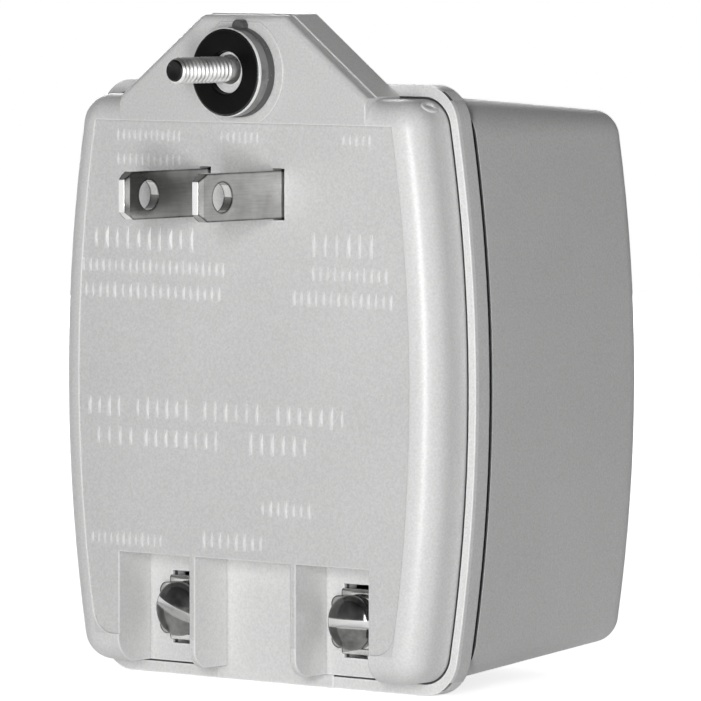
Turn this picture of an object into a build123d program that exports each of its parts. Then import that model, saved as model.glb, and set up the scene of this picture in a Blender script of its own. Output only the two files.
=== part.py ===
from build123d import *
import math
import os

os.makedirs("parts", exist_ok=True)

# The wall face is the plane Y = 0 and the blades point to -Y.
# The origin lies on that plane, midway between the blades. Sizes are in millimetres.

# Front cover: a bowed pillow face standing on a wider rim
RIM_W = 68.0
RIM_RISE = 14.62
RIM_DROP = 66.02
SIDE_BOW = 3.97
RIM_CORNER = 5.6
LEDGE_W = 1.45
LEDGE_H = 1.82
LEDGE_Y = 7.25
MOAT_W = 0.3
MOAT_D = 0.4
RIM_BACK = 10.2
FACE_ROLL = 3.7
WALL = 2.2
PANEL_DROP = 3.5
PANEL_SINK = 0.2
PANEL_MARGIN = 0.2
PANEL_CORNER = 3.4

# Mounting tab above the rim
TAB_RISE = 9.25
TAB_TOP_HALF = 7.0
TAB_FOOT_HALF = 21.2
TAB_FOOT_RISE = 0.3
TAB_STEP = 0.15
TAB_STEP_Y = 2.4
TAB_ROUND = 1.0
TAB_CORNER = 1.5
TAB_WALL = 2.0

# Washer seat, mounting screw and its washer
WASHER_DROP = 7.77
SEAT_R = 6.0
SEAT_H = 1.3
PAD_R = 7.4
PAD_H = 0.12
COLLAR_H = 1.0
NIB_R = 0.9
SCREW_LIFT = 0.4
SCREW_R = 1.75
SCREW_L = 19.0
NECK_R = 1.5
SCREW_TIP = 0.5
HEAD_R = 3.2
HEAD_H = 2.0
HEAD_SEAT_Y = 5.3
HEAD_SLOT_W = 0.9
HEAD_SLOT_D = 0.9
BORE_GAP = 0.25
HEAD_GAP = 0.25
WASHER_R = 5.9
WASHER_HOLE_R = 2.85
WASHER_T = 2.0
WASHER_ROUND = 0.45
WASHER_GAP = 0.1

# Blades
BLADE_PITCH = 12.7
BLADE_W = 6.35
BLADE_T = 1.5
BLADE_L = 16.9
BLADE_TIP = 1.6
BLADE_TIP_Z = 1.05
BLADE_HOLE_R = 2.0
BLADE_HOLE_Y = 12.2
BLADE_SLOT_GAP = 0.25
SHOULDER_W = 9.0
SHOULDER_L = 2.4

# Terminal bay
BAY_HALF = 21.7
BAY_H = 15.15
RIB_X = 8.75
RIB_T = 0.9
RIB_CORNER = 2.6
STAND_H = 0.45
APRON_HALF = 10.1
APRON_H = 0.2
BAY_WALL = 2.0

# Terminals
TERM_X = 15.0
TERM_RISE = 7.4
PLATE_W = 5.2
PLATE_H = 8.8
PLATE_T = 0.8
PLATE_OUT = 2.0
PLATE_GAP = 0.2
PLATE_SLOT = 0.55
TERM_R = 1.75
TERM_HOLE_GAP = 0.06
TERM_HEAD_R = 3.7
TERM_HEAD_H = 2.0
TERM_HEAD_ROUND = 0.6
TERM_SLOT_W = 1.1
TERM_SLOT_D = 0.9
TERM_L = 7.0
TERM_BORE_GAP = 0.4
CLAMP_W = 7.4
CLAMP_H = 7.0
CLAMP_T = 0.8
CLAMP_CORNER = 1.2
CLAMP_HOLE_GAP = 0.25
TERM_LEFT_TURN = 27.0
TERM_RIGHT_TURN = 0.0

# Rear housing
REVEAL = 1.1
HOUSING_STEP = 0.35
HOUSING_TRIM = 1.15
REAR_Y = 48.0
DRAFT = 4.3
REAR_CORNER = 3.7
REAR_ROUND = 3.2
LIP_INSET = 1.4
LIP_T = 1.1
LIP_L = 1.6
LIP_GAP = 0.06

# Transformer: a three-legged core with its coil on the middle leg
CORE_MARGIN = 7.0
CORE_DROP = 5.0
CORE_GAP = 0.3
COIL_GAP = 2.0
BOBBIN_T = 1.0
FLANGE_GAP = 0.4
WRAP_GAP_X = 0.7
WRAP_GAP_Y = 0.3
WIND_ROUND = 3.0
TAPE_T = 0.5
POST_W = 6.0
POST_H = 5.0
POST_IN = 5.0
GUIDE_T = 1.6
GUIDE_IN = 6.0
GUIDE_X = 15.0

# Thermal cut-off and leads
FUSE_R = 2.0
FUSE_L = 11.0
FUSE_X = 6.0
FUSE_DROP = 5.8
FUSE_GAP = 0.1
LEAD_R = 0.7
LEAD_RUN = 2.5
LEAD_OUT = 3.5
LEAD_IN = 3.0

# Values that follow from the sizes above
RIM_TOP = RIM_RISE
RIM_BOTTOM = -RIM_DROP
RIM_H = RIM_TOP - RIM_BOTTOM
RIM_MID = (RIM_TOP + RIM_BOTTOM) / 2
SIDE_R = ((RIM_H / 2) ** 2 + SIDE_BOW**2) / (2 * SIDE_BOW)
LEDGE_TRIM = LEDGE_H - LEDGE_W
FOOT_BOTTOM = RIM_BOTTOM + LEDGE_H
FOOT_TOP = RIM_TOP - LEDGE_H
PANEL_TOP = FOOT_TOP - PANEL_DROP
TAB_TOP = RIM_TOP + TAB_RISE
TAB_FOOT_Z = FOOT_TOP + TAB_FOOT_RISE
WASHER_Z = TAB_TOP - WASHER_DROP
SCREW_Z = WASHER_Z + SCREW_LIFT
BAY_TOP = FOOT_BOTTOM + BAY_H
TERM_Z = FOOT_BOTTOM + TERM_RISE
STAND_Y = LEDGE_Y - STAND_H
FLOOR_BACK = LEDGE_Y + WALL
HOUSING_Y = RIM_BACK + REVEAL
HEAD_WELL_R = HEAD_R + HEAD_GAP
SEAT_FRONT = -SEAT_H
COLLAR_FRONT = SEAT_FRONT - COLLAR_H
BLADE_X = BLADE_PITCH / 2

# The core fills the width of the housing, and the coil its depth
LEG = (RIM_W / 2 - CORE_MARGIN) / 3
CORE_HALF = 3 * LEG
CORE_TOP = -CORE_DROP
CORE_BOTTOM = CORE_TOP - 5 * LEG
CORE_Y = (FLOOR_BACK + REAR_Y - WALL) / 2
POST_X = 2.5 * LEG
WINDOW_TOP = CORE_TOP - LEG
WINDOW_BOTTOM = CORE_BOTTOM + LEG
FLANGE_X = 2 * LEG - FLANGE_GAP
FLANGE_Y = CORE_Y - FLOOR_BACK - COIL_GAP
hole_x = LEG + CORE_GAP
tube_x = hole_x + BOBBIN_T
WIND_T = FLANGE_X - tube_x - TAPE_T - WRAP_GAP_X
tube_y = FLANGE_Y - WIND_T - TAPE_T - WRAP_GAP_Y
hole_y = tube_y - BOBBIN_T
STACK = 2 * (hole_y - CORE_GAP)
CORE_FRONT = CORE_Y - STACK / 2
CORE_BACK = CORE_Y + STACK / 2

# The leads run midway between the bobbin's front edge and the core
LEAD_Y = (CORE_Y - FLANGE_Y + CORE_FRONT) / 2
TAIL_L = LEAD_Y - LEAD_RUN
PLATE_LEG_Y = LEAD_Y - LEAD_RUN
PLATE_SHORT_Y = FLOOR_BACK + PLATE_OUT


def at_y(y):
    return Plane(origin=(0, y, 0), x_dir=(1, 0, 0), z_dir=(0, -1, 0))


def slab(outline, y_front, y_back):
    return extrude(at_y(y_back) * outline, amount=y_back - y_front)


def block(x0, x1, y0, y1, z0, z1):
    return Pos((x0 + x1) / 2, (y0 + y1) / 2, (z0 + z1) / 2) * Box(x1 - x0, y1 - y0, z1 - z0)


def rod(x, z, radius, y0, y1):
    return Pos(x, (y0 + y1) / 2, z) * Rot(90, 0, 0) * Cylinder(radius, y1 - y0)


def barrel(inset, corner, trim=0.0):
    half_h = RIM_H / 2 - inset - trim
    x_mid = RIM_W / 2 - inset
    x_end = RIM_W / 2 - SIDE_R + math.sqrt((SIDE_R - inset) ** 2 - half_h**2)
    z0 = RIM_MID - half_h
    z1 = RIM_MID + half_h
    right = ThreePointArc((x_end, z0), (x_mid, RIM_MID), (x_end, z1))
    top = Line((x_end, z1), (-x_end, z1))
    left = ThreePointArc((-x_end, z1), (-x_mid, RIM_MID), (-x_end, z0))
    bottom = Line((-x_end, z0), (x_end, z0))
    face = make_face([right, top, left, bottom])
    if corner > 0:
        face = fillet(face.vertices(), corner)
    return face


def tab_outline(inset):
    slope = (TAB_FOOT_HALF - TAB_TOP_HALF) / (TAB_TOP - TAB_FOOT_Z)
    shift = inset * math.hypot(1, slope)
    z1 = TAB_TOP - inset
    x1 = TAB_TOP_HALF + inset * slope - shift
    x0 = TAB_FOOT_HALF + (TAB_FOOT_Z - PANEL_TOP) * slope - shift
    face = Polygon((x0, PANEL_TOP), (x1, z1), (-x1, z1), (-x0, PANEL_TOP), align=None)
    upper = [v for v in face.vertices() if abs(v.Y - z1) < 0.01]
    return fillet(upper, TAB_CORNER)


def lead(points):
    path = Polyline(*points)
    section = Plane(origin=path @ 0, z_dir=path % 0) * Circle(LEAD_R)
    return sweep(section, path=path, transition=Transition.RIGHT)


# Pillow face with its rolled edge, the tab that stands up from it, and the rim with a narrow
# groove round the foot of the pillow
pillow = slab(barrel(LEDGE_W, RIM_CORNER - LEDGE_W, LEDGE_TRIM), 0, LEDGE_Y)
pillow = fillet(pillow.faces().sort_by(Axis.Y)[0].edges(), FACE_ROLL)
tab_back = slab(tab_outline(0), TAB_STEP_Y, LEDGE_Y)
tab_front = slab(tab_outline(TAB_STEP), 0, TAB_STEP_Y)
tab_edges = [e for e in tab_front.faces().sort_by(Axis.Y)[0].edges() if e.center().Z > PANEL_TOP + 0.1]
tab_front = fillet(tab_edges, TAB_ROUND)
tab_sides = block(-TAB_FOOT_HALF, TAB_FOOT_HALF, -1, LEDGE_Y + 1, 0, TAB_TOP + 1)
rim = slab(barrel(0, RIM_CORNER), LEDGE_Y, RIM_BACK)
moat_in = LEDGE_W - MOAT_W
moat = slab(barrel(moat_in, RIM_CORNER - moat_in, LEDGE_TRIM), LEDGE_Y, LEDGE_Y + MOAT_D)
moat -= slab(barrel(LEDGE_W, RIM_CORNER - LEDGE_W, LEDGE_TRIM), 0, RIM_BACK)
moat -= block(-TAB_FOOT_HALF, TAB_FOOT_HALF, 0, RIM_BACK, 0, TAB_TOP)
moat -= block(-APRON_HALF, APRON_HALF, 0, RIM_BACK, RIM_BOTTOM, 0)
rim -= moat
cover = pillow + (tab_back & tab_sides) + (tab_front & tab_sides) + rim

# Sunk face panel, bounded by the roll and by the tab
panel_in = LEDGE_W + FACE_ROLL + PANEL_MARGIN
panel_mid = PANEL_TOP - 2 * PANEL_CORNER
panel = slab(barrel(panel_in, PANEL_CORNER, LEDGE_TRIM), -1, PANEL_SINK)
panel -= block(-RIM_W, RIM_W, -2, 2, panel_mid, TAB_TOP)
panel_upper = slab(barrel(panel_in, 0, -PANEL_DROP), -1, PANEL_SINK)
panel += panel_upper & block(-RIM_W, RIM_W, -2, 2, panel_mid, PANEL_TOP)
cover -= panel

# Hollow behind the face; the bay keeps its own walls and floor
hollow = slab(barrel(LEDGE_W + WALL, RIM_CORNER - LEDGE_W - WALL, HOUSING_TRIM), WALL, RIM_BACK + 1)
bay_edge = BAY_HALF + BAY_WALL
hollow -= block(-bay_edge, bay_edge, 0, FLOOR_BACK, RIM_BOTTOM - 1, BAY_TOP + BAY_WALL)
hollow -= block(-RIM_W, RIM_W, 0, LEDGE_Y + 0.8, FOOT_TOP - WALL - 0.8, TAB_TOP)
cover -= hollow
groove_in = LIP_INSET + LIP_T + 2 * LIP_GAP
groove = slab(barrel(LIP_INSET, RIM_CORNER - LIP_INSET, HOUSING_TRIM), RIM_BACK - LIP_L, RIM_BACK + 1)
groove -= slab(barrel(groove_in, RIM_CORNER - groove_in, HOUSING_TRIM), 0, RIM_BACK + 2)
cover -= groove

# Posts behind the face that press on the core
for side in (-1, 1):
    for z in (CORE_TOP - POST_IN, CORE_BOTTOM + POST_IN):
        x = side * POST_X
        cover += block(x - POST_W / 2, x + POST_W / 2, WALL / 2, CORE_FRONT, z - POST_H / 2, z + POST_H / 2)

# Open terminal bay with two thin ribs and low stands for the terminals
cover -= block(-BAY_HALF, BAY_HALF, -1, LEDGE_Y, RIM_BOTTOM - 1, BAY_TOP)
for side in (-1, 1):
    inner = side * (RIB_X + RIB_T / 2)
    outer = side * BAY_HALF
    x0 = min(inner, outer)
    x1 = max(inner, outer)
    cover += block(x0, x1, STAND_Y, LEDGE_Y, FOOT_BOTTOM, BAY_TOP)
    x = side * RIB_X
    rib = block(x - RIB_T / 2, x + RIB_T / 2, PANEL_SINK, LEDGE_Y, FOOT_BOTTOM, BAY_TOP)
    rib_toe = rib.edges().filter_by(Axis.X).sort_by(lambda e: e.center().Y + e.center().Z)[0]
    cover += fillet(rib_toe, RIB_CORNER)
cover += block(-APRON_HALF, APRON_HALF, LEDGE_Y - APRON_H, LEDGE_Y, RIM_BOTTOM, FOOT_BOTTOM)
cover += block(-RIB_X, RIB_X, LEDGE_Y - APRON_H, LEDGE_Y, FOOT_BOTTOM, BAY_TOP)

# Raised seat, collar and nib for the washer, and the screw's bore and head well
pad = rod(0, WASHER_Z, PAD_R, -PAD_H, PAD_H)
cover += pad & slab(tab_outline(TAB_STEP + TAB_ROUND), -1, 1)
cover += rod(0, WASHER_Z, SEAT_R, SEAT_FRONT, WALL)
cover += rod(0.5, WASHER_Z + SEAT_R + 0.1, NIB_R, SEAT_FRONT, TAB_ROUND)
cover += rod(0, WASHER_Z, WASHER_HOLE_R - WASHER_GAP, COLLAR_FRONT, 0)
pocket = slab(tab_outline(TAB_WALL), WALL, LEDGE_Y + 1)
pocket -= block(-RIM_W, RIM_W, 0, LEDGE_Y + 2, 0, RIM_TOP + 0.8)
pocket -= rod(0, SCREW_Z, HEAD_WELL_R + TAB_WALL, 0, LEDGE_Y + 2)
cover -= pocket
cover -= rod(0, SCREW_Z, SCREW_R + BORE_GAP, COLLAR_FRONT - 1, RIM_BACK)
cover -= rod(0, SCREW_Z, HEAD_WELL_R, HEAD_SEAT_Y, RIM_BACK + 1)

# Blade slots, terminal slots and bores
for side in (-1, 1):
    half_t = BLADE_T / 2 + BLADE_SLOT_GAP
    half_w = BLADE_W / 2 + BLADE_SLOT_GAP
    x = side * BLADE_X
    cover -= block(x - half_t, x + half_t, -1, WALL + 1, -half_w, half_w)
    x = side * TERM_X
    cover -= rod(x, TERM_Z, TERM_R + TERM_BORE_GAP, 0, FLOOR_BACK + 1)
    half_w = PLATE_W / 2 + PLATE_GAP
    z_in = PLATE_H / 2 - PLATE_T - PLATE_GAP
    z_out = PLATE_H / 2 + PLATE_SLOT
    cover -= block(x - half_w, x + half_w, 0, FLOOR_BACK + 1, TERM_Z + z_in, TERM_Z + z_out)
    cover -= block(x - half_w, x + half_w, 0, FLOOR_BACK + 1, TERM_Z - z_out, TERM_Z - z_in)

# Rear housing: a drafted shell with a lip that enters the cover
draft = math.tan(math.radians(DRAFT))
run = REAR_Y - HOUSING_Y
rear_inset = HOUSING_STEP + run * draft
outside = extrude(at_y(REAR_Y) * barrel(rear_inset, REAR_CORNER, HOUSING_TRIM), amount=run, taper=-DRAFT)
outside = fillet(outside.faces().sort_by(Axis.Y)[-1].edges(), REAR_ROUND)
cavity_inset = rear_inset + WALL - WALL * draft
cavity_end = at_y(REAR_Y - WALL) * barrel(cavity_inset, 0, HOUSING_TRIM)
cavity = extrude(cavity_end, amount=run - WALL, taper=-DRAFT)
housing = outside - cavity
lip_out = LIP_INSET + LIP_GAP
lip = slab(barrel(lip_out, RIM_CORNER - lip_out, HOUSING_TRIM), RIM_BACK - LIP_L + LIP_GAP, HOUSING_Y)
lip -= slab(barrel(lip_out + LIP_T, RIM_CORNER - lip_out - LIP_T, HOUSING_TRIM), 0, HOUSING_Y + 1)
housing += lip

# Posts and guides inside the housing that carry the core
for side in (-1, 1):
    for z in (CORE_TOP - POST_IN, CORE_BOTTOM + POST_IN):
        x = side * POST_X
        y1 = REAR_Y - WALL / 2
        housing += block(x - POST_W / 2, x + POST_W / 2, CORE_BACK, y1, z - POST_H / 2, z + POST_H / 2)
    for z in (CORE_TOP - GUIDE_IN, CORE_BOTTOM + GUIDE_IN):
        x0 = min(side * CORE_HALF, side * RIM_W / 2)
        x1 = max(side * CORE_HALF, side * RIM_W / 2)
        guide = block(x0, x1, CORE_FRONT, REAR_Y - WALL / 2, z - GUIDE_T / 2, z + GUIDE_T / 2)
        housing += guide & outside
    x0 = side * GUIDE_X - GUIDE_T / 2
    housing += block(x0, x0 + GUIDE_T, CORE_FRONT, REAR_Y - WALL / 2, CORE_TOP, RIM_TOP) & outside
    housing += block(x0, x0 + GUIDE_T, CORE_FRONT, REAR_Y - WALL / 2, RIM_BOTTOM, CORE_BOTTOM) & outside
housing -= rod(0, SCREW_Z, HEAD_WELL_R, HEAD_SEAT_Y, REAR_Y + 1)

# Blades: a folded tip outside, a shoulder behind the face and a tail for the lead
blades = {}
for name, side in (("blade_left", -1), ("blade_right", 1)):
    x = side * BLADE_X
    half = BLADE_W / 2
    tip = BLADE_TIP
    profile = Polygon(
        (-BLADE_L, -half + BLADE_TIP_Z),
        (-BLADE_L + tip, -half),
        (WALL, -half),
        (WALL, -SHOULDER_W / 2),
        (WALL + SHOULDER_L, -SHOULDER_W / 2),
        (WALL + SHOULDER_L, -half),
        (TAIL_L, -half),
        (TAIL_L, half),
        (WALL + SHOULDER_L, half),
        (WALL + SHOULDER_L, SHOULDER_W / 2),
        (WALL, SHOULDER_W / 2),
        (WALL, half),
        (-BLADE_L + tip, half),
        (-BLADE_L, half - BLADE_TIP_Z),
        align=None,
    )
    profile -= Pos(-BLADE_HOLE_Y, 0) * Circle(BLADE_HOLE_R)
    plane = Plane(origin=(x + BLADE_T / 2, 0, 0), x_dir=(0, 1, 0), z_dir=(1, 0, 0))
    blade = extrude(plane * profile, amount=-BLADE_T)
    tip_edges = blade.faces().sort_by(Axis.Y)[0].edges().filter_by(Axis.Z)
    blades[name] = chamfer(tip_edges, length=BLADE_T * 0.18, length2=BLADE_T * 0.6)

# Captive mounting screw: thread outside, plain neck in the tab, slotted pan head on the room side
neck_front = SEAT_FRONT - WASHER_T
screw = rod(0, SCREW_Z, SCREW_R, HEAD_SEAT_Y - SCREW_L, neck_front)
screw = chamfer(screw.faces().sort_by(Axis.Y)[0].edges(), SCREW_TIP)
screw += rod(0, SCREW_Z, NECK_R, neck_front, HEAD_SEAT_Y)
head = rod(0, SCREW_Z, HEAD_R, HEAD_SEAT_Y, HEAD_SEAT_Y + HEAD_H)
head = chamfer(head.faces().sort_by(Axis.Y)[-1].edges(), HEAD_H * 0.3)
slot_front = HEAD_SEAT_Y + HEAD_H - HEAD_SLOT_D
slot_half = HEAD_SLOT_W / 2
head -= block(-HEAD_R - 1, HEAD_R + 1, slot_front, slot_front + 3, SCREW_Z - slot_half, SCREW_Z + slot_half)
mounting_screw = screw + head

# Black washer on the collar
washer = rod(0, WASHER_Z, WASHER_R, SEAT_FRONT - WASHER_T, SEAT_FRONT)
washer = chamfer(washer.faces().sort_by(Axis.Y)[0].edges(), WASHER_ROUND)
washer -= rod(0, WASHER_Z, WASHER_HOLE_R, SEAT_FRONT - WASHER_T - 1, SEAT_FRONT + 1)

# Terminal strips with two legs through the floor, their pressure plates and slotted screws
plates = {}
clamps = {}
screws = {}
for name, side, turn in (("left", -1, TERM_LEFT_TURN), ("right", 1, TERM_RIGHT_TURN)):
    x = side * TERM_X
    plate_front = STAND_Y - PLATE_T
    z1 = TERM_Z + PLATE_H / 2
    z0 = TERM_Z - PLATE_H / 2
    plate = block(x - PLATE_W / 2, x + PLATE_W / 2, plate_front, STAND_Y, z0, z1)
    plate += block(x - PLATE_W / 2, x + PLATE_W / 2, plate_front, PLATE_LEG_Y, z1 - PLATE_T, z1)
    plate += block(x - PLATE_W / 2, x + PLATE_W / 2, plate_front, PLATE_SHORT_Y, z0, z0 + PLATE_T)
    bends = plate.faces().sort_by(Axis.Y)[0].edges().filter_by(Axis.X)
    plate = fillet(bends, PLATE_T * 0.6)
    plate -= rod(x, TERM_Z, TERM_R + TERM_HOLE_GAP, plate_front - 1, STAND_Y + 1)
    plates[name] = plate
    head_seat = plate_front - CLAMP_T
    clamp = slab(Pos(x, TERM_Z) * RectangleRounded(CLAMP_W, CLAMP_H, CLAMP_CORNER), head_seat, plate_front)
    clamps[name] = clamp - rod(x, TERM_Z, TERM_R + CLAMP_HOLE_GAP, head_seat - 1, plate_front + 1)
    slot_y = head_seat - TERM_HEAD_H
    head = rod(x, TERM_Z, TERM_HEAD_R, slot_y, head_seat)
    head = chamfer(head.faces().sort_by(Axis.Y)[0].edges(), TERM_HEAD_ROUND)
    cut = Box(2 * TERM_HEAD_R + 2, 2 * TERM_SLOT_D, TERM_SLOT_W)
    head -= Pos(x, slot_y, TERM_Z) * Rot(0, turn, 0) * cut
    shank = rod(x, TERM_Z, TERM_R, head_seat, head_seat + TERM_L)
    shank = chamfer(shank.faces().sort_by(Axis.Y)[-1].edges(), SCREW_TIP)
    screws[name] = head + shank

# Core stacks
e_stack = block(-CORE_HALF, CORE_HALF, CORE_FRONT, CORE_BACK, WINDOW_BOTTOM, CORE_TOP)
for side in (-1, 1):
    x = side * 1.5 * LEG
    e_stack -= block(x - LEG / 2, x + LEG / 2, CORE_FRONT - 1, CORE_BACK + 1, WINDOW_BOTTOM - 1, WINDOW_TOP)
i_stack = block(-CORE_HALF, CORE_HALF, CORE_FRONT, CORE_BACK, CORE_BOTTOM, WINDOW_BOTTOM)

# Bobbin, windings and their wraps on the middle leg
bob_top = WINDOW_TOP - CORE_GAP
bob_bottom = WINDOW_BOTTOM + CORE_GAP
bob_mid = (bob_top + bob_bottom) / 2


def ring(half_x, half_y, corner, hole_half_x, hole_half_y, hole_corner, z0, z1):
    outline = RectangleRounded(2 * half_x, 2 * half_y, corner)
    outline -= RectangleRounded(2 * hole_half_x, 2 * hole_half_y, hole_corner)
    return Pos(0, CORE_Y, z0) * extrude(outline, amount=z1 - z0)


tube_round = BOBBIN_T * 0.8
bobbin = ring(tube_x, tube_y, tube_round, hole_x, hole_y, 0.2, bob_bottom, bob_top)
for z in (bob_bottom, bob_mid - BOBBIN_T / 2, bob_top - BOBBIN_T):
    bobbin += ring(FLANGE_X, FLANGE_Y, 1.0, hole_x, hole_y, 0.2, z, z + BOBBIN_T)

coil_x = tube_x + WIND_T
coil_y = tube_y + WIND_T
low0 = bob_bottom + BOBBIN_T
low1 = bob_mid - BOBBIN_T / 2
up0 = bob_mid + BOBBIN_T / 2
up1 = bob_top - BOBBIN_T
primary = ring(coil_x, coil_y, WIND_ROUND, tube_x, tube_y, tube_round, up0, up1)
secondary = ring(coil_x, coil_y, WIND_ROUND, tube_x, tube_y, tube_round, low0, low1)
tape_round = WIND_ROUND + TAPE_T
wrap_x = coil_x + TAPE_T
wrap_y = coil_y + TAPE_T
primary_tape = ring(wrap_x, wrap_y, tape_round, coil_x, coil_y, WIND_ROUND, up0, up1)
secondary_tape = ring(wrap_x, wrap_y, tape_round, coil_x, coil_y, WIND_ROUND, low0, low1)

# Thermal cut-off lying on the primary wrap, and the insulated leads
wrap_front = CORE_Y - wrap_y
fuse_y = wrap_front - FUSE_GAP - FUSE_R
fuse_z = up1 - FUSE_DROP
fuse_x0 = FUSE_X - FUSE_L / 2
fuse_x1 = FUSE_X + FUSE_L / 2
fuse = Pos(FUSE_X, fuse_y, fuse_z) * Rot(0, 90, 0) * Cylinder(FUSE_R, FUSE_L)
fuse = chamfer(fuse.edges().filter_by(GeomType.CIRCLE), FUSE_R * 0.25)
blade_side = BLADE_X + BLADE_T / 2
right_x = fuse_x1 + LEAD_OUT
lead_right = lead(
    [(blade_side, fuse_y, 0), (right_x, fuse_y, 0), (right_x, fuse_y, fuse_z), (fuse_x1, fuse_y, fuse_z)]
)
lead_left = lead([(-BLADE_X, TAIL_L, 0), (-BLADE_X, LEAD_Y, 0), (-BLADE_X, LEAD_Y, bob_top)])
end_x = fuse_x0 - LEAD_IN
fuse_lead = lead([(fuse_x0, fuse_y, fuse_z), (end_x, fuse_y, fuse_z), (end_x, wrap_front, fuse_z)])
leads = {"primary_lead_left": lead_left, "primary_lead_right": lead_right, "fuse_lead": fuse_lead}
leg_z = TERM_Z + PLATE_H / 2 - PLATE_T / 2
for name, side in (("secondary_lead_left", -1), ("secondary_lead_right", 1)):
    x = side * TERM_X
    leads[name] = lead([(x, PLATE_LEG_Y, leg_z), (x, LEAD_Y, leg_z), (x, LEAD_Y, bob_bottom)])

nodes = {
    "front_cover": cover,
    "rear_housing": housing,
    "rubber_washer": washer,
    "mounting_screw": mounting_screw,
    "core_e_stack": e_stack,
    "core_i_stack": i_stack,
    "bobbin": bobbin,
    "primary_winding": primary,
    "secondary_winding": secondary,
    "primary_tape": primary_tape,
    "secondary_tape": secondary_tape,
    "thermal_fuse": fuse,
}
nodes.update(blades)
nodes.update(leads)
for name in ("left", "right"):
    nodes["terminal_plate_" + name] = plates[name]
    nodes["wire_clamp_" + name] = clamps[name]
    nodes["terminal_screw_" + name] = screws[name]
for name, shape in nodes.items():
    export_step(shape, "parts/" + name + ".step")
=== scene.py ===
import math
import bmesh
import bpy
from mathutils import Matrix, Vector


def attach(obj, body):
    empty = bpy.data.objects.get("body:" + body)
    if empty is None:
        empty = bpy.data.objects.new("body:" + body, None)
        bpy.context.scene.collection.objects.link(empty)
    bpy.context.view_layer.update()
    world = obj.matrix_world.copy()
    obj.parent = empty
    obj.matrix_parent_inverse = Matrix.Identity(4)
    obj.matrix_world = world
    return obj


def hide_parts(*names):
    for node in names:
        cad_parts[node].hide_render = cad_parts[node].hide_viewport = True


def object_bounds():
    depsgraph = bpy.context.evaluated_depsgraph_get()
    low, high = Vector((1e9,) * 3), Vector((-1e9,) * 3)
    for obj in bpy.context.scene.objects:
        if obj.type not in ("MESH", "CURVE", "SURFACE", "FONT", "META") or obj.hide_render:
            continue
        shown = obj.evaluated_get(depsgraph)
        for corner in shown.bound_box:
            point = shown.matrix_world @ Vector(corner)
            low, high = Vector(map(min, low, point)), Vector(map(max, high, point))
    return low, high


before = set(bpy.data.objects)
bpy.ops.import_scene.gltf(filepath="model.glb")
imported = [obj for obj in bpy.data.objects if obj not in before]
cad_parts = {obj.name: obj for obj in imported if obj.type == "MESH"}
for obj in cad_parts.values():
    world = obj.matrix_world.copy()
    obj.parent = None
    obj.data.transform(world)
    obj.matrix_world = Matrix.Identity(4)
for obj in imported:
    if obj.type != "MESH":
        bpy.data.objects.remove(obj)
cad_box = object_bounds()


# Case: the front cover and the rear housing are injection moulded in one pale grey plastic
# and closed along the parting line. Spark-eroded mould steel leaves a fine matte grain on the
# flat wall side and on the shell; the rolled edges between them are smoother.
class Value:
    """A socket in a node tree, on which sums and comparisons add Math nodes."""

    def __init__(self, tree, socket):
        self.tree = tree
        self.socket = socket

    def math(self, operation, first, second):
        return self.tree.node("ShaderNodeMath", {"operation": operation}, {0: first, 1: second})

    def __add__(self, other):
        return self.math("ADD", self, other)

    def __radd__(self, other):
        return self.math("ADD", other, self)

    def __sub__(self, other):
        return self.math("SUBTRACT", self, other)

    def __rsub__(self, other):
        return self.math("SUBTRACT", other, self)

    def __mul__(self, other):
        return self.math("MULTIPLY", self, other)

    def __rmul__(self, other):
        return self.math("MULTIPLY", other, self)

    def __truediv__(self, other):
        return self.math("DIVIDE", self, other)

    def __lt__(self, other):
        return self.math("LESS_THAN", self, other)

    def __gt__(self, other):
        return self.math("GREATER_THAN", self, other)


class Tree:
    """A node tree, with one method that adds any node."""

    def __init__(self, tree):
        self.tree = tree

    def put(self, socket, value):
        if isinstance(value, Value):
            self.tree.links.new(value.socket, socket)
        else:
            socket.default_value = value

    def node(self, kind, settings=None, sockets=None, output=0):
        made = self.tree.nodes.new(kind)
        for name, setting in (settings or {}).items():
            if name != "stops":
                setattr(made, name, setting)
                continue
            ramp = made.color_ramp.elements
            ramp[0].position, ramp[0].color = setting[0]
            ramp[1].position, ramp[1].color = setting[-1]
            for place, shade in setting[1:-1]:
                ramp.new(place).color = shade
        for name, value in (sockets or {}).items():
            self.put(made.inputs[name], value)
        return Value(self, made.outputs[output])

    def single(self, operation, value):
        """A Math node with one input."""
        return self.node("ShaderNodeMath", {"operation": operation}, {0: value})

    def component(self, vector, axis):
        return self.node("ShaderNodeSeparateXYZ", None, {0: vector}, axis)


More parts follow.
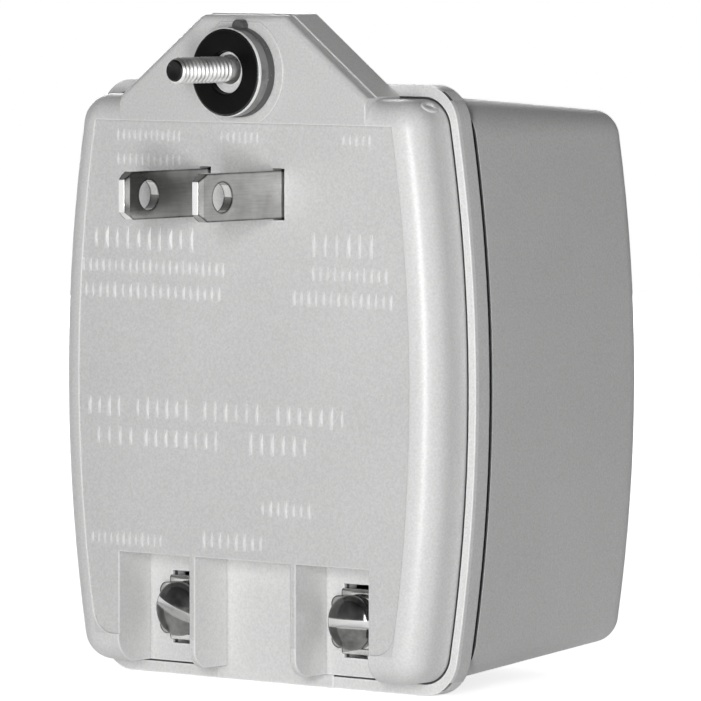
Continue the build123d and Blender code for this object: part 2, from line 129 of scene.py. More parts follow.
class Finish(Tree):
    """A material with one principled shader, on the piece's own coordinates in metres."""

    def __init__(self, name):
        self.material = bpy.data.materials.new(name)
        self.material.use_nodes = True
        super().__init__(self.material.node_tree)
        self.tree.nodes.clear()
        self.shader = self.tree.nodes.new("ShaderNodeBsdfPrincipled")
        surface = self.tree.nodes.new("ShaderNodeOutputMaterial")
        self.tree.links.new(self.shader.outputs["BSDF"], surface.inputs["Surface"])
        self.place = self.node("ShaderNodeTexCoord", output="Object")

    def noise(self, scale, detail=2.0, vector=None):
        sockets = {"Vector": vector or self.place, "Scale": scale, "Detail": detail}
        return self.node("ShaderNodeTexNoise", None, sockets)

    def along(self, axis):
        return self.component(self.place, axis)

    def stretched(self, x, y, z):
        return self.node("ShaderNodeMapping", None, {"Vector": self.place, "Scale": (x, y, z)})

    def ramp(self, value, *stops):
        colours = [(place, (*shade, 1.0)) for place, shade in stops]
        return self.node("ShaderNodeValToRGB", {"stops": colours}, {"Fac": value})

    def shut_in(self, reach, inside):
        """How much is covered within reach, measured into the body (edges) or out of it (corners)."""
        settings = {"samples": 8, "only_local": True, "inside": inside}
        return 1.0 - self.node("ShaderNodeAmbientOcclusion", settings, {"Distance": reach}, "AO")

    def bump(self, height, strength, distance, edge=None):
        sockets = {"Height": height, "Strength": strength, "Distance": distance}
        if edge:
            sockets["Normal"] = self.node("ShaderNodeBevel", {"samples": 6}, {"Radius": edge})
        return self.node("ShaderNodeBump", None, sockets)

    def wear(self, **sockets):
        for name, value in sockets.items():
            title = name.replace("_", " ").title().replace("Ior", "IOR")
            self.put(self.shader.inputs[title], value)
        return self.material


def dress(material, *nodes):
    for node in nodes:
        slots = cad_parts[node].data.materials
        slots.clear()
        slots.append(material)


MM = 0.001
PANEL_TOP = 9.3 * MM
PANEL_BOTTOM = -60.3 * MM
PANEL_HALF = 28.65 * MM
PANEL_DEPTH = 0.26 * MM
TAB_HALF = 21.2 * MM
BOW_MIDDLE = -25.7 * MM
BOW_RADIUS = 206.6 * MM
RIM_HALF = 33.2 * MM
RIM_HIGH = 13.8 * MM
RIM_LOW = -65.2 * MM
RIM_FACE = 7.95 * MM
PARTING = 11.35 * MM
GROOVE_FRONT = 7.3 * MM
GROOVE_BACK = 7.9 * MM
SEAM_FRONT = 10.25 * MM
SEAM_BACK = 11.32 * MM
SEAT_Z = 16.1 * MM
SEAT_FACE = -0.12 * MM
SEAT_EDGE = 5.5 * MM
SEAT_REACH = 8.2 * MM
EDGE_HIGHLIGHT_REACH = 0.25 * MM
CORNER_SHADE_REACH = 0.45 * MM
EDGE_ROUND = 0.28 * MM
GRAIN_SCALE = 3200.0
CLOUD_SCALE = 45.0


def moulded(name, dark, light, matte, edge=None):
    """Case plastic: matte is 1 with the eroded grain and painted highlights on the edges, 0 for a
    smooth mark.
    """
    case = Finish(name)
    across = case.single("ABSOLUTE", case.along("X"))
    depth = case.along("Y")
    up = case.along("Z")
    off = up - BOW_MIDDLE
    bow = off * off / (2 * BOW_RADIUS)
    below = up < PANEL_TOP
    limit = below * (PANEL_HALF - bow) + (1.0 - below) * TAB_HALF
    flat = (across < limit) * (depth < PANEL_DEPTH) * (up > PANEL_BOTTOM)
    inside_rim = (across < RIM_HALF - bow) * (up < RIM_HIGH) * (up > RIM_LOW)
    shell = (depth > RIM_FACE) * (1.0 - inside_rim * (depth < PARTING))
    # The groove round the foot of the raised face is painted dark: painted shade in the groove.
    groove_shade = (depth > GROOVE_FRONT) * (depth < GROOVE_BACK) * inside_rim
    # The lip inside the reveal between the rim and the housing is painted dark: painted shade in the
    # gap.
    seam_shade = (depth > SEAM_FRONT) * (depth < SEAM_BACK)
    from_seat = up - SEAT_Z
    seat_ring = across * across + from_seat * from_seat
    # The side of the collar round the washer seat is painted darker: painted shade on it.
    seat_shade = (seat_ring > SEAT_EDGE**2) * (seat_ring < SEAT_REACH**2) * (depth < SEAT_FACE)
    # Convex edges are painted paler: a painted highlight along them.
    edge_highlight = case.shut_in(EDGE_HIGHLIGHT_REACH, True) * (1.0 - seat_shade)
    # Corners and creases are painted darker: painted shade where the surfaces close in.
    corner_shade = case.shut_in(CORNER_SHADE_REACH, False)
    eroded = (flat + shell) * matte
    grain = case.noise(GRAIN_SCALE)
    cloud = case.noise(CLOUD_SCALE)
    shade = 0.24 + 0.24 * cloud + 0.64 * grain - matte * (0.20 * flat + 0.34 * shell)
    return case.wear(
        base_color=case.ramp(
            0.75 * shade - groove_shade - seam_shade - 0.46 * seat_shade + matte * edge_highlight - 0.45 * corner_shade,
            (0.0, (0.09, 0.09, 0.09)),
            (0.02, dark),
            (0.75, light),
            (1.0, (0.97, 0.97, 0.965)),
        ),
        roughness=0.34 + 0.06 * grain + 0.12 * eroded,
        normal=case.bump(grain * (0.10 + 0.90 * eroded), 0.35, 0.12 * MM, edge),
        specular_ior_level=0.5,
    )


case_plastic = moulded(
    "moulded_case_plastic", (0.50, 0.50, 0.497), (0.88, 0.88, 0.875), 1.0, EDGE_ROUND
)
dress(case_plastic, "front_cover", "rear_housing")


# Core: varnished steel laminations, stamped as E and I shapes and pressed into two stacks.
# The sheet edges show as fine dark lines along the depth of the stack.
WAVE_LENGTH = 0.314  # of Blender's wave texture at a scale of 1
SHEET = 0.5 * MM
core = Finish("varnished_laminations")
sheets = core.node(
    "ShaderNodeTexWave",
    {"wave_type": "BANDS", "bands_direction": "Y", "wave_profile": "SAW"},
    {"Vector": core.place, "Scale": WAVE_LENGTH / SHEET, "Distortion": 0.4, "Detail": 1.0},
)
varnish = core.noise(400.0, 3.0)
core_steel = core.wear(
    base_color=core.ramp(
        0.6 * sheets + 0.4 * varnish, (0.2, (0.055, 0.053, 0.05)), (0.85, (0.20, 0.195, 0.19))
    ),
    metallic=0.85,
    roughness=0.32 + 0.30 * varnish,
    normal=core.bump(sheets, 0.5, 0.06 * MM),
)
dress(core_steel, "core_e_stack", "core_i_stack")


# Coil: a nylon bobbin with three flanges carries two windings of enamelled wire.
# Each winding is wrapped in polyester tape, which shows its overlapping turns.
nylon = Finish("natural_nylon")
milky = nylon.noise(180.0)
bobbin_plastic = nylon.wear(
    base_color=nylon.ramp(milky, (0.3, (0.70, 0.67, 0.58)), (0.7, (0.78, 0.75, 0.67))),
    roughness=0.38 + 0.15 * milky,
    normal=nylon.bump(nylon.noise(900.0), 0.2, 0.05 * MM),
)
dress(bobbin_plastic, "bobbin")

WIRE = 0.32 * MM
wire = Finish("enamelled_copper")
wound = wire.node(
    "ShaderNodeTexWave",
    {"wave_type": "BANDS", "bands_direction": "Z"},
    {"Vector": wire.place, "Scale": WAVE_LENGTH / WIRE, "Distortion": 0.6, "Detail": 1.0},
)
copper = wire.wear(
    base_color=wire.ramp(wound, (0.1, (0.20, 0.06, 0.025)), (0.8, (0.62, 0.27, 0.11))),
    metallic=0.9,
    roughness=0.25 + 0.15 * wire.noise(600.0),
    normal=wire.bump(wound, 0.8, 0.12 * MM),
)
dress(copper, "primary_winding", "secondary_winding")

film = Finish("polyester_wrap")
laps = film.node(
    "ShaderNodeTexWave",
    {"wave_type": "BANDS", "bands_direction": "DIAGONAL", "wave_profile": "SAW"},
    {"Vector": film.stretched(1.0, 1.0, 6.0), "Scale": 28.0, "Distortion": 0.5},
)
tape = film.wear(
    base_color=film.ramp(laps, (0.0, (0.62, 0.42, 0.05)), (1.0, (0.80, 0.60, 0.12))),
    roughness=0.20 + 0.12 * film.noise(500.0),
    normal=film.bump(laps, 0.35, 0.05 * MM),
    coat_weight=0.4,
)
dress(tape, "primary_tape", "secondary_tape")


# Thermal cut-off and leads: a small crimped metal can lies on the primary wrap, and stranded
# leads in black and yellow insulation join the blades, the coil and the terminals.
can = Finish("crimped_can")
rolled = can.noise(1.0, vector=can.stretched(300.0, 4000.0, 4000.0))
fuse_body = can.wear(
    base_color=can.ramp(rolled, (0.3, (0.48, 0.48, 0.46)), (0.7, (0.66, 0.66, 0.63))),
    metallic=0.8,
    roughness=0.30 + 0.2 * rolled,
    normal=can.bump(rolled, 0.2, 0.03 * MM),
)
dress(fuse_body, "thermal_fuse")


def insulation(name, dark, light):
    sleeve = Finish(name)
    smear = sleeve.noise(500.0)
    return sleeve.wear(
        base_color=sleeve.ramp(smear, (0.3, dark), (0.7, light)),
        roughness=0.40 + 0.15 * smear,
        normal=sleeve.bump(sleeve.noise(1800.0), 0.25, 0.04 * MM),
    )


lead_black = insulation("black_insulation", (0.018, 0.018, 0.019), (0.035, 0.035, 0.036))
lead_yellow = insulation("yellow_insulation", (0.58, 0.42, 0.03), (0.70, 0.53, 0.06))
dress(lead_black, "primary_lead_left", "primary_lead_right", "fuse_lead")
dress(lead_yellow, "secondary_lead_left", "secondary_lead_right")


# Blades and terminal strips: stamped from plated brass strip, with faint rolling lines along
# the strip and handling smudges. Their edges are painted dark, a painted shade, and the cut
# ends of the blades are painted pale and less metallic, a painted highlight.
BLADE_TIP = -16.85 * MM
EDGE_SHADE_REACH = 0.3 * MM
STRIP_ROUND = 0.18 * MM


def plated(name, dark, light, x, y, z):
    """Plated strip: x, y and z are the scales of the rolling lines, smallest along the strip."""
    strip = Finish(name)
    # The cut ends past the blade tip are painted pale and less metallic: a painted highlight.
    end = strip.along("Y") < BLADE_TIP
    # The edges are painted dark: painted shade standing for the dark reflections along them.
    edge_shade = strip.shut_in(EDGE_SHADE_REACH, True) * (1.0 - end)
    lines = strip.noise(1.0, 3.0, strip.stretched(x, y, z))
    smudge = strip.noise(220.0, 4.0)
    return strip.wear(
        base_color=strip.ramp(
            0.25 * lines + 0.75 * smudge - 1.2 * edge_shade + 0.6 * end,
            (0.0, (0.04, 0.04, 0.04)),
            (0.32, dark),
            (0.66, light),
            (0.9, (0.94, 0.94, 0.935)),
        ),
        metallic=1.0 - 0.7 * end,
        roughness=0.06 + 0.12 * smudge + 0.05 * lines,
        normal=strip.bump(lines, 0.05, 0.03 * MM, STRIP_ROUND),
    )


blade_metal = plated(
    "plated_blade", (0.32, 0.32, 0.313), (0.58, 0.58, 0.57), 6000.0, 250.0, 6000.0
)
terminal_metal = plated(
    "plated_strip", (0.40, 0.40, 0.39), (0.62, 0.62, 0.61), 6000.0, 6000.0, 300.0
)
dress(blade_metal, "blade_left", "blade_right")
dress(terminal_metal, "terminal_plate_left", "terminal_plate_right")
dress(terminal_metal, "wire_clamp_left", "wire_clamp_right")


# Washer: a moulded black rubber ring pressed over the collar of the tab. Its face has rounded
# edges with a greasy sheen, and its side is coloured grey, with a pale band at the front.
def lathe(profile, x, z, around=64):
    """Turns a profile of radii and depths, in millimetres, about an axis along Y."""
    shape = bmesh.new()
    rings = []
    for radius, depth in profile:
        angles = [2 * math.pi * i / around for i in range(around)] if radius > 0 else [0.0]
        ring = [(x + radius * math.cos(a), depth, z + radius * math.sin(a)) for a in angles]
        rings.append([shape.verts.new(Vector(p) * MM) for p in ring])
    for near, far in zip(rings, rings[1:]):
        for i in range(around):
            j = (i + 1) % around
            corners = [near[i % len(near)], near[j % len(near)], far[j % len(far)], far[i % len(far)]]
            shape.faces.new(list(dict.fromkeys(corners)))
    return shape


def round_edge(radius, depth, size, turn, steps=5):
    """Points of a quarter round about a corner, from angle turn on."""
    points = []
    for i in range(steps + 1):
        a = math.radians(turn + 90.0 * i / steps)
        points.append((radius + size * math.cos(a), depth + size * math.sin(a)))
    return points


def mesh_of(name, shape):
    mesh = bpy.data.meshes.new(name)
    shape.to_mesh(mesh)
    shape.free()
    return mesh


WELD = 0.002 * MM
SHARP_ANGLE = math.radians(35)


def piece(name, shape, material, body, slot, *stands_for):
    bmesh.ops.remove_doubles(shape, verts=shape.verts, dist=WELD)
    bmesh.ops.recalc_face_normals(shape, faces=shape.faces)
    mesh = mesh_of(name, shape)
    mesh.materials.append(material)
    mesh.shade_smooth()
    mesh.set_sharp_from_angle(angle=SHARP_ANGLE)
    made = bpy.data.objects.new(name, mesh)
    bpy.context.collection.objects.link(made)
    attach(made, body)
    if stands_for:
        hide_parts(*stands_for)


WASHER_R = 5.9
WASHER_HOLE_R = 2.85
WASHER_FRONT = -3.3
WASHER_BACK = -1.3
WASHER_Z = SEAT_Z / MM
WASHER_ROUND = 0.35
WASHER_FACETS = 96
HOLE_ROUND = 0.3
DISH = 0.02
DISH_WIDTH = 0.6
SIDE_SKIN = 0.1
BAND_BACK = -2.75
rubber = Finish("black_rubber")
bloom = rubber.noise(350.0, 3.0)
washer_x = rubber.along("X")
washer_z = rubber.along("Z") - WASHER_Z * MM
from_axis = washer_x * washer_x + washer_z * washer_z
# The side is coloured grey, and paler in a band at its front.
outer_side = from_axis > ((WASHER_R - SIDE_SKIN) * MM) ** 2
band = outer_side * (rubber.along("Y") < BAND_BACK * MM)
greasy = from_axis > ((WASHER_R - WASHER_ROUND) * MM) ** 2
washer_rubber = rubber.wear(
    base_color=rubber.ramp(
        0.25 * bloom + 0.3 * outer_side + 0.45 * band,
        (0.0, (0.002, 0.002, 0.002)),
        (0.3, (0.009, 0.009, 0.009)),
        (0.42, (0.24, 0.24, 0.238)),
        (0.6, (0.30, 0.30, 0.298)),
        (0.85, (0.90, 0.90, 0.895)),
    ),
    roughness=0.30 + 0.16 * bloom,
    specular_ior_level=0.08,
    coat_weight=greasy * 0.9,
    coat_roughness=0.16,
    normal=rubber.bump(rubber.noise(1500.0, 3.0), 0.2, 0.05 * MM),
)
face_edge = WASHER_R - WASHER_ROUND
profile = [(WASHER_HOLE_R, WASHER_BACK)]
profile += round_edge(WASHER_HOLE_R + HOLE_ROUND, WASHER_FRONT + HOLE_ROUND, HOLE_ROUND, 180.0)
profile += [(face_edge - DISH_WIDTH, WASHER_FRONT + DISH)]
profile += round_edge(face_edge, WASHER_FRONT + WASHER_ROUND, WASHER_ROUND, 270.0)
profile += [(WASHER_R, WASHER_BACK), (WASHER_HOLE_R, WASHER_BACK)]
washer = lathe(profile, 0.0, WASHER_Z, WASHER_FACETS)
piece("rounded_washer", washer, washer_rubber, "base", "washer_rubber", "rubber_washer")


# Screws: steel with a rolled thread. The zinc-plated mounting screw has a plain neck and a
# slotted pan head on the room side, and its thread grooves and tip end are painted dark, a painted
# shade; the two darker nickel-plated terminal screws have domed heads, with their slots and head
# rims painted pale, painted highlights.
class Shape(Tree):
    """A Geometry Nodes tree with named inputs, made into a plain mesh."""

    KINDS = {"Lines": "NodeSocketGeometry", "Finish": "NodeSocketMaterial"}

    def __init__(self, name, *sizes):
        super().__init__(bpy.data.node_groups.new(name, "GeometryNodeTree"))
        for size in sizes:
            kind = self.KINDS.get(size, "NodeSocketFloat")
            self.tree.interface.new_socket(size, in_out="INPUT", socket_type=kind)
        self.tree.interface.new_socket("Shape", in_out="OUTPUT", socket_type="NodeSocketGeometry")
        self.entry = self.tree.nodes.new("NodeGroupInput")
        self.exit = self.tree.nodes.new("NodeGroupOutput")

    def size(self, name):
        return Value(self, self.entry.outputs[name])

    def end(self, shape):
        whole = self.node("GeometryNodeRealizeInstances", None, {0: shape})
        sockets = {"Geometry": whole, "Material": self.size("Finish")}
        coated = self.node("GeometryNodeSetMaterial", None, sockets)
        self.put(self.exit.inputs[0], coated)

    def make(self, carrier, **sizes):
        holder = bpy.data.objects.new("holder", carrier)
        bpy.context.collection.objects.link(holder)
        step = holder.modifiers.new("shape", "NODES")
        step.node_group = self.tree
        for item in self.tree.interface.items_tree:
            if item.in_out == "INPUT" and item.name in sizes:
                step[item.identifier] = sizes[item.name]
        graph = bpy.context.evaluated_depsgraph_get()
        mesh = bpy.data.meshes.new_from_object(holder.evaluated_get(graph))
        holder.modifiers.remove(step)
        bpy.data.objects.remove(holder)
        return mesh


ROWS_PER_TURN = 14
POINTS_AROUND = 65
FLANK_SLOPE = 1.25
CREST_FLAT = 0.12
thread = Shape("rolled_thread", "Radius", "Depth", "Pitch", "Length", "Lead", "Finish")
turns = thread.size("Length") / thread.size("Pitch")
rows = turns * ROWS_PER_TURN + 2.0
sheet = thread.node(
    "GeometryNodeMeshGrid",
    None,
    {"Size X": 1.0, "Size Y": 1.0, "Vertices X": POINTS_AROUND, "Vertices Y": rows},
    "Mesh",
)
spot = thread.node("GeometryNodeInputPosition")
turn = thread.component(spot, "X") + 0.5
run = (thread.component(spot, "Y") + 0.5) * thread.size("Length")
phase = thread.single("FRACT", run / thread.size("Pitch") + turn)
flank = thread.single("ABSOLUTE", phase * 2.0 - 1.0)
groove = thread.node("ShaderNodeClamp", None, {"Value": flank * FLANK_SLOPE - CREST_FLAT})
crest = thread.size("Radius") - thread.size("Depth") * groove
lead_in = thread.size("Radius") - thread.size("Lead") + run
radius = crest.math("MINIMUM", crest, lead_in)
angle = turn * (2 * math.pi)
ring_x = radius * thread.single("COSINE", angle)
ring_z = radius * thread.single("SINE", angle)
wrapped = thread.node("ShaderNodeCombineXYZ", None, {"X": ring_x, "Y": run, "Z": ring_z})
helix = thread.node("GeometryNodeSetPosition", None, {"Geometry": sheet, "Position": wrapped})
closed = thread.node("GeometryNodeMergeByDistance", None, {"Geometry": helix, "Distance": WELD})
thread.end(closed)


def add(shape, mesh):
    shape.from_mesh(mesh)
    bpy.data.meshes.remove(mesh)


PITCH = 0.794
THREAD_DEPTH = 0.3
THREAD_LEAD = 0.5


def threaded(shape, radius, length, place, heading, material):
    """Adds a thread from its lead-in end at place, along Y after a turn to heading."""
    sizes = {
        "Radius": radius,
        "Depth": THREAD_DEPTH,
        "Pitch": PITCH,
        "Length": length,
        "Lead": THREAD_LEAD,
    }
    carrier = bpy.data.meshes.new("carrier")
    mesh = thread.make(carrier, Finish=material, **{name: size * MM for name, size in sizes.items()})
    turned = Matrix.Rotation(math.radians(heading), 4, "Z")
    mesh.transform(Matrix.Translation(Vector(place) * MM) @ turned)
    add(shape, mesh)


SLOT_LENGTH = 20.0


def slotted(shape, centre, width, depth, turn):
    """Cuts a straight slot of this width and depth across a head whose top is at centre."""
    bmesh.ops.recalc_face_normals(shape, faces=shape.faces)
    head = mesh_of("head", shape)
    blade = bmesh.new()
    bmesh.ops.create_cube(blade, size=1.0)
    place = Matrix.Translation(Vector(centre) * MM) @ Matrix.Rotation(math.radians(turn), 4, "Y")
    blade.transform(place @ Matrix.Diagonal(Vector((SLOT_LENGTH, 2 * depth, width)) * MM).to_4x4())
    cutter = mesh_of("cutter", blade)
    pair = [bpy.data.objects.new(mesh.name, mesh) for mesh in (head, cutter)]
    for each in pair:
        bpy.context.collection.objects.link(each)
    step = pair[0].modifiers.new("slot", "BOOLEAN")
    step.operation = "DIFFERENCE"
    step.solver = "EXACT"
    step.object = pair[1]
    graph = bpy.context.evaluated_depsgraph_get()
    result = bmesh.new()
    add(result, bpy.data.meshes.new_from_object(pair[0].evaluated_get(graph)))
    for mesh in (head, cutter):
        bpy.data.meshes.remove(mesh)
    return result


TIP_Y = -13.7
TIP_SKIN = 0.2
THREAD_SHADE_REACH = 0.35 * MM
zinc = Finish("bright_zinc")
passivate = zinc.noise(500.0, 3.0)
# The end face of the tip is painted dark: painted shade.
tip_shade = zinc.along("Y") < (TIP_Y + TIP_SKIN) * MM
# The thread grooves are painted dark: painted shade in the grooves.
thread_shade = zinc.shut_in(THREAD_SHADE_REACH, False)
screw_steel = zinc.wear(
    base_color=zinc.ramp(
        passivate - 0.7 * tip_shade - 0.8 * thread_shade,
        (0.0, (0.03, 0.03, 0.03)),
        (0.3, (0.60, 0.60, 0.595)),
        (0.7, (0.84, 0.84, 0.835)),
    ),
    metallic=1.0,
    roughness=0.32 + 0.12 * passivate,
    normal=zinc.bump(zinc.noise(2600.0), 0.12, 0.03 * MM),
)

SCREW_Z = 16.5
SCREW_R = 1.75
NECK_R = 1.5
NECK_Y = -3.3
NECK_LAP = 1.0
HEAD_SEAT_Y = 5.3
HEAD_R = 3.2
HEAD_H = 2.0
HEAD_ROUND = 0.8
HEAD_FLAT_R = 1.28
HEAD_SLOT_W = 0.9
HEAD_SLOT_D = 0.9
TIP_POINTS = ((0.0, 0.18), (0.55, 0.05), (SCREW_R - THREAD_LEAD, 0.0))
head_top = HEAD_SEAT_Y + HEAD_H
neck_end = NECK_Y - NECK_LAP
pan = [(0.0, neck_end), (NECK_R, neck_end), (NECK_R, HEAD_SEAT_Y), (HEAD_R, HEAD_SEAT_Y)]
pan += round_edge(HEAD_R - HEAD_ROUND, head_top - HEAD_ROUND, HEAD_ROUND, 0.0)
pan += [(HEAD_FLAT_R, head_top), (0.0, head_top)]
head_middle = (0.0, head_top, SCREW_Z)
mounting = slotted(lathe(pan, 0.0, SCREW_Z), head_middle, HEAD_SLOT_W, HEAD_SLOT_D, 0.0)
threaded(mounting, SCREW_R, NECK_Y - TIP_Y, (0.0, TIP_Y, SCREW_Z), 0.0, screw_steel)
tip = [(radius, TIP_Y + hollow) for radius, hollow in TIP_POINTS]
add(mounting, mesh_of("tip", lathe(tip, 0.0, SCREW_Z)))
piece(
    "threaded_mounting_screw", mounting, screw_steel, "captive_screw", "screw_steel", "mounting_screw"
)

TERM_X = 15.0
TERM_Z = -56.8
TERM_R = 1.75
TERM_SEAT_Y = 5.2
TERM_HEAD_R = 3.7
TERM_HEAD_H = 2.0
TERM_EDGE = 0.55
TERM_L = 7.0
TERM_GAP = 0.2
TERM_SLOT_W = 1.1
TERM_SLOT_D = 1.2
TERM_STUB = 1.0
DOME_STEPS = 12
CUT_SKIN = 0.08
HEAD_BORDER = 0.08
RIM_HIGHLIGHT_REACH = 0.2 * MM
nickel = Finish("dull_nickel")
tarnish = nickel.noise(420.0, 3.0)
term_x = nickel.single("ABSOLUTE", nickel.along("X")) - TERM_X * MM
term_z = nickel.along("Z") - TERM_Z * MM
reach = 1.0 - (term_x * term_x + term_z * term_z) / (TERM_HEAD_R * MM) ** 2
swell = nickel.single("SQRT", reach)
crown = (TERM_SEAT_Y - TERM_EDGE) * MM - (TERM_HEAD_H - TERM_EDGE) * MM * swell
# The slot is painted pale and matte: a painted highlight.
slot_highlight = (nickel.along("Y") - crown > CUT_SKIN * MM) * (reach > HEAD_BORDER)
# The rims of the head are painted paler: a painted highlight.
terminal_steel = nickel.wear(
    base_color=nickel.ramp(
        0.5 * tarnish + 0.6 * slot_highlight + 0.5 * nickel.shut_in(RIM_HIGHLIGHT_REACH, True),
        (0.12, (0.05, 0.05, 0.049)),
        (0.38, (0.24, 0.24, 0.236)),
        (0.80, (0.86, 0.86, 0.855)),
    ),
    metallic=1.0,
    roughness=0.12 + 0.08 * tarnish + 0.30 * slot_highlight,
    normal=nickel.bump(tarnish, 0.10, 0.05 * MM),
)
stub_r = TERM_R - THREAD_DEPTH
stub_end = TERM_SEAT_Y + TERM_STUB
head_edge = TERM_SEAT_Y - TERM_EDGE
dome = [(0.0, stub_end), (stub_r, stub_end), (stub_r, TERM_SEAT_Y)]
dome += [(TERM_HEAD_R, TERM_SEAT_Y), (TERM_HEAD_R, head_edge)]
for i in range(1, DOME_STEPS):
    a = math.radians(90.0 * i / DOME_STEPS)
    dome.append((TERM_HEAD_R * math.cos(a), head_edge - (TERM_HEAD_H - TERM_EDGE) * math.sin(a)))
dome.append((0.0, TERM_SEAT_Y - TERM_HEAD_H))
point_y = TERM_SEAT_Y + TERM_L
for side, place, slot_turn in (("left", -TERM_X, 21.0), ("right", TERM_X, 0.0)):
    head_middle = (place, TERM_SEAT_Y - TERM_HEAD_H, TERM_Z)
    screw = slotted(lathe(dome, place, TERM_Z), head_middle, TERM_SLOT_W, TERM_SLOT_D, slot_turn)
    threaded(screw, TERM_R, TERM_L - TERM_GAP, (place, point_y, TERM_Z), 180.0, terminal_steel)
    point = [(0.0, point_y), (TERM_R - THREAD_LEAD, point_y)]
    add(screw, mesh_of("point", lathe(point, place, TERM_Z)))
    node = "terminal_screw_" + side
    piece("domed_" + node, screw, terminal_steel, side + "_screw", "screw_steel", node)


# Marks on the wall side: rows of low raised strokes, plain, upright and tapered, and a small
# oval ring on the corner of the roll. They are cut into the mould and come out with the cover,
# smoother and a little paler than its grained face.
STROKE_SPACING = 0.52
STROKE_WIDTH = 0.12
STROKE_RISE = 0.13
STROKE_TAPER = 0.2
SHORTEST = 0.72
NARROWEST = 0.8
WIDEST = 1.9
PANEL_Y = 0.2
# Each row has its top, its bottom and the ends of its runs, in millimetres.
stroke_rows = (
    (8.29, 6.53, (-21.7, -10.9), (-3.5, 2.7), (17.4, 21.8)),
    (5.05, 3.16, (-21.7, -10.9)),
    (-4.75, -8.27, (-25.7, -8.8), (12.4, 22.1)),
    (-9.22, -11.39, (-27.9, -21.0), (-19.6, -3.3), (12.3, 24.6)),
    (-12.47, -14.78, (-27.5, -22.4), (-20.9, -11.6), (-10.2, -4.0), (9.0, 25.4)),
    (-27.8, -30.87, (-26.9, -21.7), (-18.3, -9.8), (-6.5, 2.6), (6.2, 17.2)),
    (-31.81, -34.88, (-25.3, -19.6), (-16.9, -4.6), (1.5, 10.8)),
    (-40.64, -43.04, (3.6, 11.5)),
    (-46.23, -48.27, (-26.4, -14.3)),
    (-45.31, -47.86, (-6.7, 3.2)),
)
mark_plastic = moulded("raised_mark_plastic", (0.60, 0.60, 0.596), (0.86, 0.86, 0.855), 0.0)
lines = bmesh.new()
tall = lines.verts.layers.float.new("tall")
for top, bottom, *runs in stroke_rows:
    middle = (top + bottom) / 2
    for run_ends in runs:
        ends = [lines.verts.new(Vector((x, PANEL_Y, middle)) * MM) for x in run_ends]
        for end in ends:
            end[tall] = (top - bottom) * MM
        lines.edges.new(ends)

strokes = Shape("raised_strokes", "Lines", "Spacing", "Width", "Rise", "Finish")
height = strokes.node("GeometryNodeInputNamedAttribute", {"data_type": "FLOAT"}, {"Name": "tall"})
curves = strokes.node("GeometryNodeMeshToCurve", None, {0: strokes.size("Lines")})
spaced = strokes.node(
    "GeometryNodeResampleCurve",
    {"mode": "LENGTH"},
    {"Curve": curves, "Length": height * strokes.size("Spacing")},
)
frustum = strokes.node(
    "GeometryNodeMeshCone",
    None,
    {"Vertices": 4, "Radius Top": STROKE_TAPER, "Radius Bottom": math.sqrt(0.5), "Depth": 1.0},
)
squared = strokes.node(
    "GeometryNodeTransform", None, {"Geometry": frustum, "Rotation": (0.0, 0.0, math.pi / 4)}
)
facing = strokes.node(
    "GeometryNodeTransform", None, {"Geometry": squared, "Rotation": (math.pi / 2, 0.0, 0.0)}
)
vary = strokes.node(
    "FunctionNodeRandomValue", {"data_type": "FLOAT"}, {2: SHORTEST, 3: 1.0, "Seed": 7}, 1
)
wide = strokes.node(
    "FunctionNodeRandomValue", {"data_type": "FLOAT"}, {2: NARROWEST, 3: WIDEST, "Seed": 11}, 1
)
bulk = strokes.node(
    "ShaderNodeCombineXYZ",
    None,
    {
        "X": height * strokes.size("Width") * wide,
        "Y": 2.0 * strokes.size("Rise"),
        "Z": height * vary,
    },
)
placed = strokes.node(
    "GeometryNodeInstanceOnPoints", None, {"Points": spaced, "Instance": facing, "Scale": bulk}
)
strokes.end(placed)
raised = bmesh.new()
add(
    raised,
    strokes.make(
        mesh_of("stroke_lines", lines),
        Spacing=STROKE_SPACING,
        Width=STROKE_WIDTH,
        Rise=STROKE_RISE * MM,
        Finish=mark_plastic,
    ),
)
piece("raised_strokes", raised, mark_plastic, "base", "case_plastic")

OVAL_PLACE = Vector((28.12, 4.9, 11.80)) * MM
OVAL_LEAN = math.radians(45.9)
OVAL_STRETCH = 1.6
OVAL_FACETS = 40
OVAL_PROFILE = [(0.40, 0.08), (0.48, -0.16), (0.68, -0.26), (0.90, -0.16), (1.02, 0.10)]
oval = lathe(OVAL_PROFILE, 0.0, 0.0, OVAL_FACETS)
c, s = math.cos(OVAL_LEAN), math.sin(OVAL_LEAN)
lean = Matrix(((0.0, -c, -s), (OVAL_STRETCH, 0.0, 0.0), (0.0, -s, c))).to_4x4()
oval.transform(Matrix.Translation(OVAL_PLACE) @ lean)
piece("oval_mark", oval, mark_plastic, "base", "case_plastic")


# Stage: a broad white floor that casts no shadow itself, one tall key light in front beside the
# camera, a weak broad fill light low on the right, a broad light behind that the picture doesn't
# see, a darker ceiling and the camera at the angle of the picture.
FLOOR_HALF = 30.0
FLOOR_GLOW = 0.965
CONTACT_SHADE = 0.22
CONTACT_REACH = 45.0 * MM
CONTACT_AREA = 0.2
low = cad_box[0].z
corners = [(x * FLOOR_HALF, y * FLOOR_HALF, low) for x, y in ((-1, -1), (1, -1), (1, 1), (-1, 1))]
floor_mesh = bpy.data.meshes.new("floor")
floor_mesh.from_pydata(corners, [], [(0, 1, 2, 3)])
floor = bpy.data.objects.new("floor", floor_mesh)
bpy.context.collection.objects.link(floor)
floor.visible_shadow = False


def seen_by(tree, *rays):
    """Whether a ray of one of these kinds is looking, from 0 to 1."""
    path = tree.tree.nodes.new("ShaderNodeLightPath")
    kinds = [Value(tree, path.outputs[ray]) for ray in rays]
    return sum(kinds[1:], kinds[0])


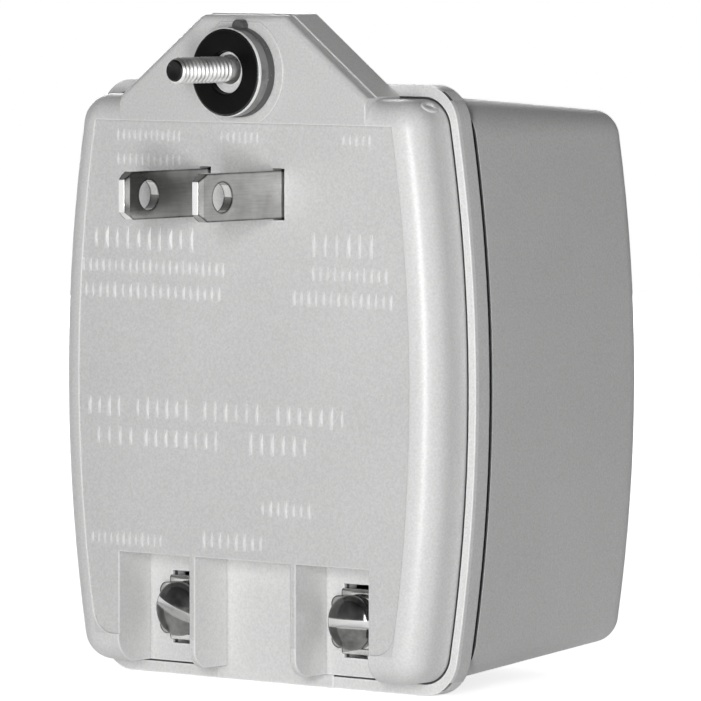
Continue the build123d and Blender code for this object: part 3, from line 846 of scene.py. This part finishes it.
white_floor = bpy.data.materials.new("white_floor")
white_floor.use_nodes = True
white = Tree(white_floor.node_tree)
white.tree.nodes.clear()
looked_at = seen_by(white, "Is Camera Ray", "Is Glossy Ray", "Is Transmission Ray")
direct = white.node("ShaderNodeClamp", None, {"Value": looked_at})
paint = white.node("ShaderNodeBsdfDiffuse", None, {"Color": (0.8, 0.8, 0.8, 1.0)})
clear = white.node("ShaderNodeAmbientOcclusion", {"samples": 16}, {"Distance": CONTACT_REACH}, "AO")
floor_place = white.node("ShaderNodeTexCoord", output="Object")
floor_x = white.component(floor_place, "X")
floor_y = white.component(floor_place, "Y")
# The floor's glow is painted darker near the object: a painted contact shadow.
contact_shadow = (floor_x * floor_x + floor_y * floor_y < CONTACT_AREA**2) * (1.0 - clear)
shine = direct * (FLOOR_GLOW - CONTACT_SHADE * contact_shadow)
glow = white.node("ShaderNodeEmission", None, {"Color": shine, "Strength": 1.0})
both = white.node("ShaderNodeAddShader", None, {0: paint, 1: glow})
surface = white.tree.nodes.new("ShaderNodeOutputMaterial")
white.put(surface.inputs["Surface"], both)
floor_mesh.materials.append(white_floor)

AMBIENT = 0.13
world = bpy.data.worlds.new("studio")
bpy.context.scene.world = world
world.use_nodes = True
sky = Tree(world.node_tree)
sky.tree.nodes.clear()
plain = seen_by(sky, "Is Camera Ray", "Is Transmission Ray")
mirror = seen_by(sky, "Is Glossy Ray")
heading = sky.node("ShaderNodeTexCoord", output="Generated")
ceiling = sky.node("ShaderNodeClamp", None, {"Value": sky.component(heading, "Z") * 1.5 - 0.15})
front = sky.node("ShaderNodeClamp", None, {"Value": 0.3 - sky.component(heading, "Y") * 1.5})
level = (AMBIENT + mirror * (1.0 - AMBIENT) * (1.0 - 0.65 * front)) * (1.0 - 0.75 * ceiling)
backdrop = sky.node("ShaderNodeBackground", None, {"Strength": level + plain * (1.0 - level)})
surface = sky.tree.nodes.new("ShaderNodeOutputWorld")
sky.put(surface.inputs["Surface"], backdrop)


def lamp(name, azimuth, elevation, distance, width, height, watts):
    """An oval lamp aimed at the object's middle, with angles in degrees and lengths in metres."""
    light = bpy.data.lights.new(name, "AREA")
    light.shape = "ELLIPSE"
    light.size = width
    light.size_y = height
    light.energy = watts
    made = bpy.data.objects.new(name, light)
    bpy.context.collection.objects.link(made)
    a, e = math.radians(azimuth), math.radians(elevation)
    away = Vector((math.sin(a) * math.cos(e), -math.cos(a) * math.cos(e), math.sin(e)))
    centre = (cad_box[0] + cad_box[1]) / 2
    made.location = centre + away * distance
    made.rotation_euler = away.to_track_quat("Z", "Y").to_euler()
    return made


lamp("key_light", 29.5, 2.0, 0.55, 0.10, 0.30, 2.22)
lamp("fill_light", 80.0, -8.0, 0.9, 0.5, 0.5, 0.62)
lamp("back_light", 222.0, 15.0, 0.9, 0.6, 0.6, 3.8).visible_camera = False

CAMERA_PLACE = Vector((589.82, -704.85, 37.07)) * MM
CAMERA_AIM = Vector((18.78, 0.0, -20.205)) * MM
camera = bpy.data.objects.new("camera", bpy.data.cameras.new("camera"))
bpy.context.collection.objects.link(camera)
camera.data.sensor_width = 36.0
camera.data.sensor_fit = "HORIZONTAL"
camera.data.lens = 355.2
camera.data.clip_end = 200.0
camera.location = CAMERA_PLACE
camera.rotation_euler = (CAMERA_AIM - CAMERA_PLACE).to_track_quat("-Z", "Y").to_euler()
bpy.context.scene.camera = camera
bpy.context.scene.view_settings.view_transform = "Standard"
